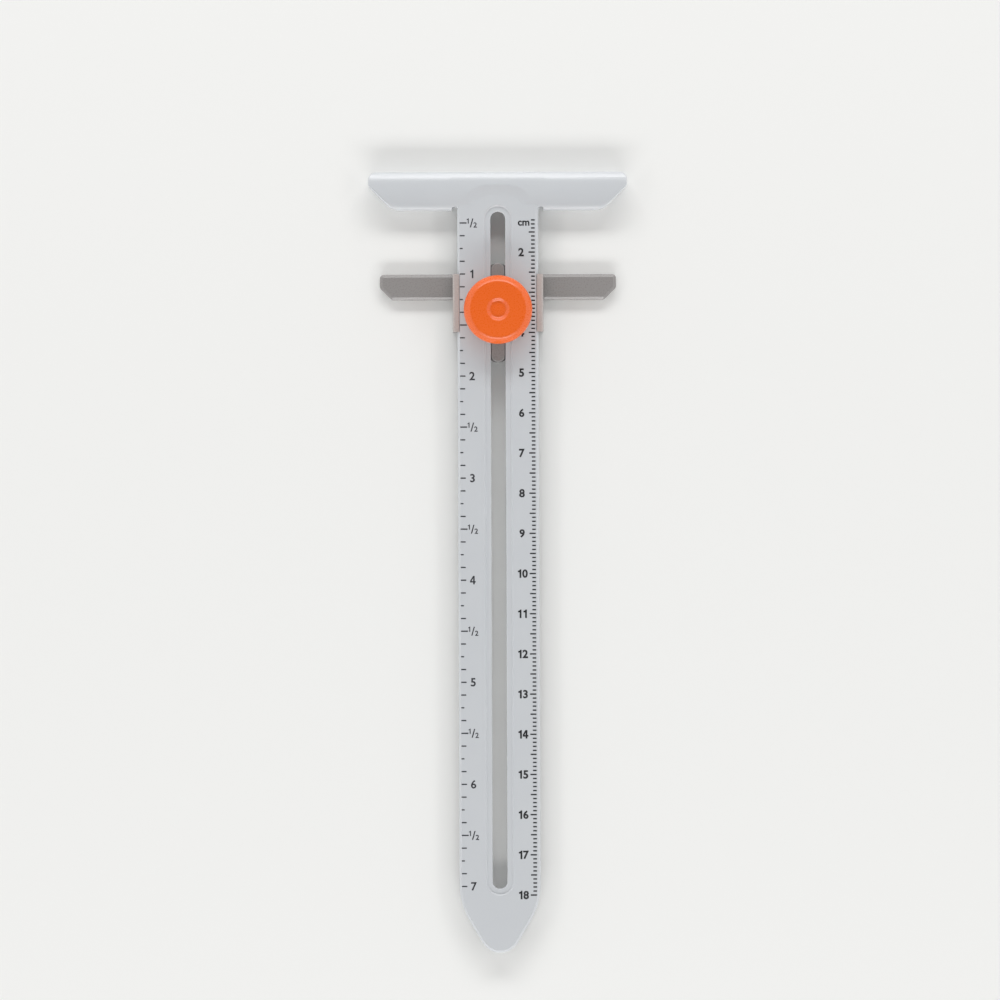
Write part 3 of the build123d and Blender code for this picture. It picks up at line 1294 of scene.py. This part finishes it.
@dataclass
class PushButton:
    """The round button: a dished face with a dimple, a hollow back and an oblong stem."""

    centre_y: float = 62.8
    radius: float = 8.5
    skirt_z: float = 5.6
    shoulder_z: float = 7.5
    face_radius: float = 6.7
    face_z: float = 9.7
    dish: float = 0.35
    shoulder_fall: float = 1.3
    dimple_rim: float = 3.0
    dimple_floor: float = 1.8
    dimple_depth: float = 0.65
    bore: float = 7.35
    ceiling_z: float = 8.4
    lip: float = 0.2
    stem_half: float = 1.6
    stem_run: float = 3.8
    stem_z: float = 2.5
    stem_root: float = 0.1
    screw_radius: float = 0.9
    screw_end_z: float = 7.0
    face_rings: int = 10
    wall_rings: int = 16

    def profile(self) -> list[Point]:
        """Draws the cap's section from the middle of its hollow back to the middle of its face.

        Returns:
            Radius and height of each ring.
        """
        lip, skirt_z = self.lip, self.skirt_z
        return [
            (0.0, self.ceiling_z),
            (self.bore, self.ceiling_z),
            (self.bore, skirt_z + lip),
            (self.bore + lip / 2, skirt_z),
            *arc((self.radius - lip, skirt_z + lip), lip, lip, -90, 0, 4),
            *self.shoulder(),
            *self.dished_face(),
            *self.dimple(),
        ]

    def shoulder(self) -> Iterator[Point]:
        """Draws the shoulder from the skirt up to the face, a little flatter than a true arc.

        Yields:
            Radius and height of each ring.
        """
        wide, tall = self.radius - self.face_radius, self.face_z - self.shoulder_z
        for across, up in arc((0.0, 0.0), 1.0, 1.0, 0, 90, 18):
            yield (
                self.face_radius + wide * max(across, 0.0) ** self.shoulder_fall,
                self.shoulder_z + tall * up**self.shoulder_fall,
            )

    def dished_face(self) -> Iterator[Point]:
        """Draws the face, which sinks towards the dimple's rim.

        Yields:
            Radius and height of each ring.
        """
        run = self.face_radius - self.dimple_rim
        for step in range(1, self.face_rings):
            share = 1 - step / self.face_rings
            yield self.dimple_rim + share * run, self.face_z - self.dish * (1 - share * share)

    def dimple(self) -> Iterator[Point]:
        """Draws the dimple: a wall that eases in and out, and a flat floor.

        Yields:
            Radius and height of each ring.
        """
        rim_z, wall = self.face_z - self.dish, self.dimple_rim - self.dimple_floor
        for step in range(self.wall_rings + 1):
            share = step / self.wall_rings
            eased = share * share * (3 - 2 * share)
            yield self.dimple_rim - share * wall, rim_z - eased * self.dimple_depth
        for share in (0.75, 0.5, 0.25, 0.0):
            yield share * self.dimple_floor, rim_z - self.dimple_depth

    def build(self) -> bpy.types.Object:
        """Makes, shades and dresses the button.

        Returns:
            The finished button.
        """
        centre = (0.0, self.centre_y)
        cap = turned("push_button", self.profile(), centre, 128)
        half, run = self.stem_half, self.stem_run
        stem = turned(
            "stem",
            [(half, self.stem_z), (half, self.ceiling_z + self.stem_root)],
            (0, self.centre_y - run / 2),
            48,
            run,
        )
        combine(cap, stem, Combine.JOIN)
        radius = self.screw_radius
        rings = [(radius, self.stem_z - PAST), (radius, self.screw_end_z)]
        combine(cap, turned("screw_bore", rings, centre, 32), Combine.CUT)
        shade_round(cap, 35)
        return finish_piece(cap, Body.BUTTON, BUTTON_ABS, "release_button")


@dataclass
class LockParts:
    """What works under the button: the pegged cup, the coil, and the CAD wedge and screw."""

    centre_y: float = 62.8
    cup_radius: float = 7.2
    well_radius: float = 6.3
    cup_back_z: float = 4.25
    cup_floor_z: float = 5.0
    cup_rim_z: float = 6.3
    cup_lip: float = 0.2
    hole_half: float = 1.8
    hole_run: float = 3.8
    peg_radius: float = 0.8
    peg_offset: float = 6.15
    peg_z: float = 1.9
    peg_chamfer: float = 0.15
    peg_root: float = 0.2
    wire_radius: float = 0.3
    coil_radius: float = 4.3
    coil_low_z: float = 5.32
    coil_high_z: float = 8.08
    coil_turns: float = 2.5
    press: float = 1.2

    def cup(self) -> bpy.types.Object:
        """Makes the cup that carries the coil, with its two pegs.

        Returns:
            The finished cup.
        """
        outer, well, lip = self.cup_radius, self.well_radius, self.cup_lip
        back_z, rim_z, floor_z = self.cup_back_z, self.cup_rim_z, self.cup_floor_z
        rings = [
            (0.0, back_z),
            (outer - lip, back_z),
            *arc((outer - lip, back_z + lip), lip, lip, -90, 0, 3),
            *arc((outer - lip, rim_z - lip), lip, lip, 0, 90, 3),
            *arc((well + lip, rim_z - lip), lip, lip, 90, 180, 3),
            *arc((well - lip, floor_z + lip), lip, lip, 0, -90, 3),
            (0.0, floor_z),
        ]
        cup = turned("spring_cup_turned", rings, (0, self.centre_y), 96)
        half, run = self.hole_half, self.hole_run
        hole_rings = [(half, back_z - PAST), (half, rim_z)]
        hole = turned("stem_hole", hole_rings, (0, self.centre_y - run / 2), 48, run)
        combine(cup, hole, Combine.CUT)
        radius, chamfer = self.peg_radius, self.peg_chamfer
        peg_rings = [
            (radius - chamfer, self.peg_z),
            (radius, self.peg_z + chamfer),
            (radius, back_z + self.peg_root),
        ]
        for side in (-1, 1):
            peg = turned("peg", peg_rings, (0, self.centre_y + side * self.peg_offset), 32)
            combine(cup, peg, Combine.JOIN)
        shade(cup)
        return finish_piece(cup, Body.SLIDE, ACETAL, "spring_cup")

    def coil(self) -> bpy.types.Object:
        """Winds the coil from a round wire.

        Returns:
            The finished coil.
        """
        bpy.ops.mesh.primitive_circle_add(
            vertices=14,
            radius=self.wire_radius,
            fill_type="NOTHING",
            location=(self.coil_radius, 0, 0),
            rotation=(math.pi / 2, 0, 0),
        )
        coil = bpy.context.object
        coil.name = "lock_coil"
        bpy.ops.object.transform_apply(location=True, rotation=True, scale=True)
        step = coil.modifiers.new("wind", "SCREW")
        step.angle = 2 * math.pi * self.coil_turns
        step.screw_offset = self.coil_high_z - self.coil_low_z
        step.steps = step.render_steps = round(48 * self.coil_turns)
        bpy.ops.object.modifier_apply(modifier=step.name)
        with editing(coil):
            bpy.ops.mesh.select_mode(type="EDGE")
            bpy.ops.mesh.select_non_manifold(extend=False)
            bpy.ops.mesh.edge_face_add()
            bpy.ops.mesh.select_all(action="SELECT")
            bpy.ops.transform.translate(value=(0, self.centre_y, self.coil_low_z))
            face_outwards()
        shade_round(coil, 40)
        finish_piece(coil, Body.SLIDE, SPRING_WIRE, "lock_spring")
        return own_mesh(coil)

    def build(self) -> None:
        """Makes the cup and the coil, and dresses the wedge and the screw."""
        self.cup()
        self.coil()
        for node, finish in (("lock_wedge", ACETAL), ("clamp_screw", PLATED_SCREW)):
            dress(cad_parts[node], finish)
            log.info("%s: CAD node in %s", node, finish.name)


@dataclass
class PrintedScale:
    """One printed scale: its marks and its numerals, as thin ink on the face of the blade."""

    name: str
    ink: PrintedInk
    edge_x: float
    inward: int
    mark_width: float
    weight: float
    numeral_x: float
    numeral_height: float = 2.1
    mark_corner: float = 0.06
    face_z: float = 4.15
    film: float = 0.02
    sunk: float = 0.02
    datum_y: float = 97.2
    parts: list[bpy.types.Object] = field(default_factory=list)

    def marks(self) -> dict[float, float]:
        """The length of the mark at each distance from the datum edge."""
        raise NotImplementedError

    def print_numerals(self) -> None:
        """Prints the numerals beside the marks."""
        raise NotImplementedError

    def mark(self) -> bpy.types.Object:
        """Makes one mark a millimetre long, with the blunt corners that printing gives.

        It is drawn on its own side of the Y axis, as a mirrored copy would be inside out.

        Returns:
            The mark, which runs inwards from the Y axis.
        """
        half = self.mark_width / 2
        corners = box_corners(min(0, self.inward), max(0, self.inward), -half, half)
        mark = outline("mark", corners)
        for corner in corners:
            round_corner(mark, corner, self.mark_corner, 2)
        return self.print_on(mark)

    def print_on(self, flat: bpy.types.Object) -> bpy.types.Object:
        """Gives a flat shape the thickness of the film, sunk a little into the face."""
        foot, rise = (0, 0, self.face_z - self.sunk), (0, 0, self.film + self.sunk)
        # The shape already points up, so its faces come out right. They aren't turned again,
        # because the heavy 9's outline crosses itself, and part of it would be turned inwards.
        return raise_solid(flat, foot, rise, turn_faces=False)

    def print_marks(self) -> None:
        """Copies the mark to every place on the scale, each to its length."""
        master = self.mark()
        for distance, length in self.marks().items():
            mark = master.copy()
            mark.data = master.data.copy()
            bpy.context.collection.objects.link(mark)
            activate(mark)
            mark.scale = (length, 1, 1)
            mark.location = (self.edge_x, self.datum_y - distance, 0)
            bpy.ops.object.transform_apply(location=True, rotation=True, scale=True)
            self.parts.append(mark)
        bpy.data.objects.remove(master, do_unlink=True)

    def print_text(self, text: str, centre: Point, height: float, weight: float) -> None:
        """Prints one glyph or word, centred on a place.

        Args:
            text: what is printed.
            centre: the middle of the printed shape.
            height: its height in millimetres.
            weight: how far the strokes are thickened, as a share of the type size.
        """
        if text in ("1", "4"):
            glyph = self.drawn_digit(text, weight)
        else:
            bpy.ops.object.text_add(location=(0, 0, 0))
            glyph = bpy.context.object
            glyph.data.body = text
            glyph.data.offset = weight
            glyph.data.resolution_u = 4
            bpy.ops.object.convert(target="MESH")
            glyph = bpy.context.object
        low = Vector(min(corner[i] for corner in glyph.bound_box) for i in range(3))
        high = Vector(max(corner[i] for corner in glyph.bound_box) for i in range(3))
        scale = height / (high.y - low.y)
        middle = (low + high) / 2
        glyph.scale = (scale, scale, scale)
        glyph.location = (centre[0] - middle.x * scale, centre[1] - middle.y * scale, 0)
        activate(glyph)
        bpy.ops.object.transform_apply(location=True, rotation=True, scale=True)
        with editing(glyph):
            bpy.ops.mesh.select_all(action="SELECT")
            bpy.ops.mesh.remove_doubles(threshold=NEAR / 10)
        self.parts.append(self.print_on(glyph))

    def drawn_digit(self, digit: str, weight: float) -> bpy.types.Object:
        """Draws a flagged one or a closed four, which the built-in type draws otherwise.

        Its sizes are shares of the type size, and its slants are set against its stem's width.

        Args:
            digit: "1" or "4".
            weight: how far the strokes are thickened, as for the other glyphs.

        Returns:
            The flat glyph.
        """
        top, right = 0.66, 0.36
        stem = 0.075 + 2 * weight
        left = right - stem
        if digit == "1":
            flag_x, flag_top = left - 0.13, 0.55
            flag_foot = flag_top - 0.8 * stem
            loops = [
                [
                    (left, 0.0),
                    (right, 0.0),
                    (right, top),
                    (right - 0.7 * stem, top),
                    (left - 0.02, 0.585),
                    (flag_x, flag_top),
                    (flag_x, flag_foot),
                    (left, flag_foot),
                ]
            ]
        else:
            end_x, bar = right + 0.08, 0.15
            bar_top = bar + 0.9 * stem
            loops = [
                [
                    (left, 0.0),
                    (right, 0.0),
                    (right, bar),
                    (end_x, bar),
                    (end_x, bar_top),
                    (right, bar_top),
                    (right, top),
                    (left - 0.1 * stem, top),
                    (0.0, bar_top + 0.02),
                    (0.0, bar),
                    (left, bar),
                ],
                [(left, bar_top), (left, top - 1.4 * stem), (0.95 * stem, bar_top)],
            ]
        return self.filled(loops)

    def filled(self, loops: list[list[Point]]) -> bpy.types.Object:
        """Fills a flat curve of closed loops, the inner ones open.

        Args:
            loops: the corners of each loop in order.

        Returns:
            The flat shape as a mesh.
        """
        bpy.ops.curve.primitive_bezier_circle_add(location=(0, 0, 0))
        glyph = bpy.context.object
        curve = glyph.data
        curve.dimensions = "2D"
        curve.fill_mode = "BOTH"
        curve.splines.clear()
        for corners in loops:
            loop = curve.splines.new("POLY")
            loop.points.add(len(corners) - 1)
            for point, (x, y) in zip(loop.points, corners):
                point.co = (x, y, 0.0, 1.0)
            loop.use_cyclic_u = True
        bpy.ops.object.convert(target="MESH")
        return bpy.context.object

    def build(self) -> bpy.types.Object:
        """Joins the glyphs and the marks to one printed piece.

        Returns:
            The finished scale.
        """
        self.print_numerals()
        self.print_marks()
        bpy.ops.object.select_all(action="DESELECT")
        for part in self.parts:
            part.select_set(True)
        printed = self.parts[0]
        bpy.context.view_layer.objects.active = printed
        bpy.ops.object.join()
        printed.name = self.name
        return finish_piece(printed, Body.RULER, self.ink)


@dataclass
class InchScale(PrintedScale):
    """The inch scale down the left edge, in eighths from half an inch to seven inches."""

    name: str = "inch_scale"
    ink: PrintedInk = GREY_INK
    edge_x: float = -9.5
    inward: int = 1
    mark_width: float = 0.3
    weight: float = 0.02
    numeral_x: float = -6.5
    inch: float = 25.4
    whole_mark: float = 1.35
    half_mark: float = 1.75
    quarter_mark: float = 0.75
    eighth_mark: float = 1.25
    over_x: float = -7.45
    under_x: float = -5.6
    fraction_rise: float = 0.5
    fraction_height: float = 1.3
    slash_height: float = 2.2
    slash_weight: float = 0.012

    def marks(self) -> dict[float, float]:
        """The length of the mark at each distance from the datum edge."""
        quarter = self.quarter_mark
        by_eighth = {0: self.whole_mark, 2: quarter, 4: self.half_mark, 6: quarter}
        return {
            eighth * self.inch / 8: by_eighth.get(eighth % 8, self.eighth_mark)
            for eighth in range(4, 57)
        }

    def print_numerals(self) -> None:
        """Prints a numeral at each inch and a half, as a small fraction, between them."""
        for whole in range(1, 8):
            y = self.datum_y - whole * self.inch
            self.print_text(str(whole), (self.numeral_x, y), self.numeral_height, self.weight)
        height, rise = self.fraction_height, self.fraction_rise
        for whole in range(7):
            y = self.datum_y - (whole + 0.5) * self.inch
            self.print_text("1", (self.over_x, y + rise), height, self.weight)
            self.print_text("/", (self.numeral_x, y), self.slash_height, self.slash_weight)
            self.print_text("2", (self.under_x, y - rise), height, self.weight)


@dataclass
class CentimetreScale(PrintedScale):
    """The centimetre scale down the right edge, in millimetres from 12 to 180."""

    name: str = "centimetre_scale"
    ink: PrintedInk = BLACK_INK
    edge_x: float = 9.2
    inward: int = -1
    mark_width: float = 0.34
    weight: float = 0.032
    numeral_x: float = 5.8
    digit_step: float = 1.35
    whole_mark: float = 1.57
    half_mark: float = 1.5
    millimetre_mark: float = 0.92
    unit_x: float = 6.44
    unit_from_datum: float = 12.8
    unit_height: float = 1.3
    unit_weight: float = 0.028

    def marks(self) -> dict[float, float]:
        """The length of the mark at each distance from the datum edge."""
        by_millimetre = {0: self.whole_mark, 5: self.half_mark}
        return {
            float(mm): by_millimetre.get(mm % 10, self.millimetre_mark)
            for mm in range(12, 181)
        }

    def print_numerals(self) -> None:
        """Prints the unit, and a numeral at each centimetre, digit by digit."""
        unit_place = (self.unit_x, self.datum_y - self.unit_from_datum)
        self.print_text("cm", unit_place, self.unit_height, self.unit_weight)
        for centimetre in range(2, 19):
            y = self.datum_y - 10 * centimetre
            digits = str(centimetre)
            for place, digit in enumerate(digits):
                x = self.numeral_x + (place - (len(digits) - 1) / 2) * self.digit_step
                self.print_text(digit, (x, y), self.numeral_height, self.weight)


@dataclass(frozen=True)
class StripLamp:
    """One long soft lamp that faces the gauge: where it hangs in metres, and its power."""

    name: str
    place: Place
    watts: float


@dataclass
class Studio:
    """The floor, the lamps and the camera, in metres.

    The world is a tent of white light, bright below the height of wall_top and dim above that of
    roof_foot, both as the upward part of the way that is looked.
    """

    floor_colour: str = "#F4F4F2"
    floor_size: float = 4.0
    floor_roughness: float = 0.9
    floor_sheen: float = 0.1
    wall_strength: float = 1.1
    roof_strength: float = 0.2
    wall_top: float = 0.3
    roof_foot: float = 0.42
    strip_size: tuple[float, float] = (1.5, 0.22)
    strips: tuple[StripLamp, ...] = (
        StripLamp("head_strip", (0.0, 1.02, 0.53), 9.0),
        StripLamp("point_strip", (0.0, -1.02, 0.53), 8.5),
        StripLamp("left_strip", (-1.0, 0.0, 0.65), 2.5),
        StripLamp("right_strip", (1.0, 0.0, 0.65), 2.5),
    )
    camera_place: Place = (0.00032, 0.01553, 1.041)
    camera_roll: float = math.radians(-0.21)
    lens_mm: float = 150.0
    sensor_mm: float = 36.0
    clip_start: float = 0.01

    def floor(self) -> None:
        """Lays the pale floor that the gauge lies on."""
        bpy.ops.mesh.primitive_plane_add(size=self.floor_size, location=(0, 0, 0))
        floor = bpy.context.object
        floor.name = "studio_floor"
        material = bpy.data.materials.new("pale_matt_floor")
        material.use_nodes = True
        shader = material.node_tree.nodes["Principled BSDF"]
        shader.inputs["Base Color"].default_value = linear(self.floor_colour)
        shader.inputs["Roughness"].default_value = self.floor_roughness
        shader.inputs["Specular IOR Level"].default_value = self.floor_sheen
        floor.data.materials.append(material)
        floor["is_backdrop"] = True

    def hang(self, strip: StripLamp) -> None:
        """Hangs one soft lamp that faces the gauge.

        Args:
            strip: what is hung, and where.
        """
        bpy.ops.object.light_add(type="AREA", location=strip.place)
        lamp = bpy.context.object
        lamp.name = strip.name
        lamp.data.shape = "RECTANGLE"
        lamp.data.size, lamp.data.size_y = self.strip_size
        lamp.data.energy = strip.watts
        lamp.rotation_euler = Vector(strip.place).to_track_quat("Z", "Y").to_euler()

    def light(self) -> None:
        """Sets the tent of white light, and hangs the strip lamps in it."""
        world = bpy.data.worlds.new("studio_world")
        world.use_nodes = True
        tree = world.node_tree
        background = tree.nodes["Background"]
        background.inputs["Color"].default_value = (1, 1, 1, 1)
        way = add_node(tree, "ShaderNodeTexCoord").outputs["Generated"]
        height = add_node(tree, "ShaderNodeSeparateXYZ", {"Vector": way}).outputs["Z"]
        level = add_node(
            tree,
            "ShaderNodeMapRange",
            {
                "Value": height,
                "From Min": self.wall_top,
                "From Max": self.roof_foot,
                "To Min": self.wall_strength,
                "To Max": self.roof_strength,
            },
            interpolation_type="SMOOTHSTEP",
        )
        tree.links.new(level.outputs["Result"], background.inputs["Strength"])
        bpy.context.scene.world = world
        for strip in self.strips:
            self.hang(strip)

    def camera(self) -> None:
        """Sets the camera square above the printed face."""
        bpy.ops.object.camera_add(
            location=self.camera_place, rotation=(0, 0, self.camera_roll)
        )
        camera = bpy.context.object
        camera.name = "photo_camera"
        camera.data.lens = self.lens_mm
        camera.data.sensor_width = self.sensor_mm
        camera.data.clip_start = self.clip_start
        bpy.context.scene.camera = camera
        bpy.context.scene.view_settings.view_transform = "Standard"

    def build(self) -> None:
        """Sets up the whole studio."""
        self.floor()
        self.light()
        self.camera()


def write_sizes() -> None:
    """Gathers the CAD model's box and the visual model's box as plain lists, which are not written
    anywhere.
    """
    boxes = {
        name: [[float(value) for value in corner] for corner in box]
        for name, box in (("cad", cad_box), ("visual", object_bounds()))
    }


def main() -> None:
    """Builds the gauge and its studio."""
    logging.basicConfig(level=logging.INFO, format="%(name)s: %(message)s")
    RulerMoulding().build()
    MarkerSlide().build()
    PushButton().build()
    LockParts().build()
    InchScale().build()
    CentimetreScale().build()
    Studio().build()
    write_sizes()


if __name__ == "__main__":
    main()
